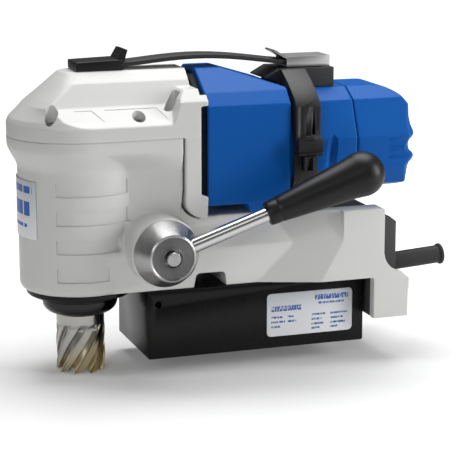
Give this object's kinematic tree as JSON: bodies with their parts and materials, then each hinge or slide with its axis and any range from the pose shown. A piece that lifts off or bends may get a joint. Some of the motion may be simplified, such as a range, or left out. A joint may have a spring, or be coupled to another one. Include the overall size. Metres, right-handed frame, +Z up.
{
  "type": "magnetic drill press",
  "caption": "Compact magnetic drill press with a low cast housing, side motor, feed lever, quill with an annular cutter, carrying strap and magnet foot.",
  "frame": {"origin": "centre of the magnet's pole face", "axes": "+X towards the motor's rear cap, -Y towards the feed lever's side, +Z up, away from the pole face"},
  "size_m": [0.324, 0.1505, 0.232],
  "materials": {
    "housing_paint": "satin grey-white paint with a fine orange peel, over a light-alloy casting",
    "magnet_black": "satin black paint over steel",
    "motor_blue": "blue moulded plastic, satin with a fine grain",
    "black_plastic": "black moulded plastic",
    "band_black": "black moulded plastic with a coarse grain",
    "box_grey": "dark grey moulded plastic",
    "strap_rubber": "black rubbery strap",
    "sleeve_rubber": "black rubber",
    "polished_steel": "turned and polished steel",
    "clip_steel": "brushed bright steel",
    "machined_steel": "machined steel",
    "cutter_coating": "ground tool steel with a thin gold-bronze coating",
    "label_foil": null,
    "copper": "enamelled copper wire",
    "resin": "black potting resin",
    "bronze": "bronze",
    "green_plastic": "green moulded plastic",
    "red_plastic": "red moulded plastic",
    "board_green": "circuit board"
  },
  "bodies": {
    "base": {"magnet_body": "magnet_black", "magnet_coil_front": "copper", "magnet_coil_rear": "copper", "magnet_resin_front": "resin", "magnet_resin_rear": "resin", "nameplate": "label_foil", "main_housing": "housing_paint", "gear_head": "housing_paint", "cover_screw_front_near": "machined_steel", "cover_screw_front_far": "machined_steel", "cover_screw_rear_near": "machined_steel", "cover_screw_rear_far": "machined_steel", "base_ring": "magnet_black", "front_label": "label_foil", "feed_bush": "bronze", "motor_housing": "motor_blue", "rear_cap": "motor_blue", "motor_plate": "black_plastic", "motor_bearing_front": "machined_steel", "motor_bearing_rear": "machined_steel", "stator": "machined_steel", "brush_near": "bronze", "brush_far": "bronze", "counter_bearing": "machined_steel", "bearing_carrier": "machined_steel", "sleeve_bearing": "machined_steel", "strap_clamp_front": "black_plastic", "carry_strap": "strap_rubber", "strap_clip_rear": "clip_steel", "strap_saddle": "band_black", "motor_band": "band_black", "band_screw": "machined_steel", "rear_cover": "box_grey", "control_board": "board_green", "strain_relief": "sleeve_rubber"},
    "feed_lever": {"feed_shaft": "machined_steel", "feed_pinion": "machined_steel", "feed_hub": "polished_steel", "hub_disc": "machined_steel", "lever_rod": "polished_steel", "lever_grip": "black_plastic"},
    "quill_unit": {"quill": "polished_steel", "quill_bearing_lower": "machined_steel", "quill_bearing_upper": "machined_steel"},
    "spindle": {"arbor": "polished_steel", "cutter_screw_rear": "machined_steel", "cutter_screw_far": "machined_steel", "annular_cutter": "cutter_coating", "pilot_spring": "machined_steel"},
    "pilot": {"pilot_pin": "polished_steel"},
    "motor_armature": {"armature": "machined_steel", "cooling_fan": "black_plastic"},
    "counter_unit": {"counter_gear": "machined_steel", "counter_shaft": "machined_steel"},
    "drive_unit": {"bevel_gear": "machined_steel", "drive_sleeve": "machined_steel"},
    "start_button": {"start_button": "green_plastic"},
    "stop_button": {"stop_button": "red_plastic"},
    "magnet_switch": {"magnet_switch": "red_plastic"}
  },
  "joints": [
    {"name": "lever_feed", "type": "hinge", "parent": "base", "child": "feed_lever", "pos_m": [-0.0747, 0, 0.0817], "axis": [0, -1, 0], "range_deg": [-36, 71]},
    {"name": "quill_slide", "type": "slide", "parent": "base", "child": "quill_unit", "axis": [0, 0, -1], "range_m": [-0.0136, 0.0266]},
    {"name": "spindle_spin", "type": "hinge", "parent": "quill_unit", "child": "spindle", "pos_m": [-0.122, 0, 0.06], "axis": [0, 0, 1], "continuous": true},
    {"name": "pilot_slide", "type": "slide", "parent": "spindle", "child": "pilot", "axis": [0, 0, 1], "range_m": [0, 0.016], "stiffness_N_per_m": 300, "springref_m": -0.01, "deforming": ["pilot_spring"]},
    {"name": "armature_spin", "type": "hinge", "parent": "base", "child": "motor_armature", "pos_m": [0, 0, 0.1495], "axis": [1, 0, 0], "continuous": true},
    {"name": "counter_spin", "type": "hinge", "parent": "base", "child": "counter_unit", "pos_m": [-0.05, 0, 0.172], "axis": [1, 0, 0], "continuous": true},
    {"name": "sleeve_spin", "type": "hinge", "parent": "base", "child": "drive_unit", "pos_m": [-0.122, 0, 0.15], "axis": [0, 0, 1], "continuous": true},
    {"name": "start_press", "type": "slide", "parent": "base", "child": "start_button", "axis": [-1, 0, 0], "range_m": [0, 0.0025], "stiffness_N_per_m": 500, "springref_m": -0.002},
    {"name": "stop_press", "type": "slide", "parent": "base", "child": "stop_button", "axis": [-1, 0, 0], "range_m": [0, 0.0025], "stiffness_N_per_m": 500, "springref_m": -0.002},
    {"name": "magnet_switch_rock", "type": "hinge", "parent": "base", "child": "magnet_switch", "pos_m": [0.106, 0.022, 0.074], "axis": [0, 1, 0], "range_deg": [-6, 6]}
  ],
  "couplings": [
    {"joint": "quill_slide", "follows": "lever_feed", "m_per_rad": 0.02125},
    {"joint": "counter_spin", "follows": "armature_spin", "ratio": -0.25},
    {"joint": "sleeve_spin", "follows": "armature_spin", "ratio": -0.083333},
    {"joint": "spindle_spin", "follows": "armature_spin", "ratio": -0.083333}
  ]
}
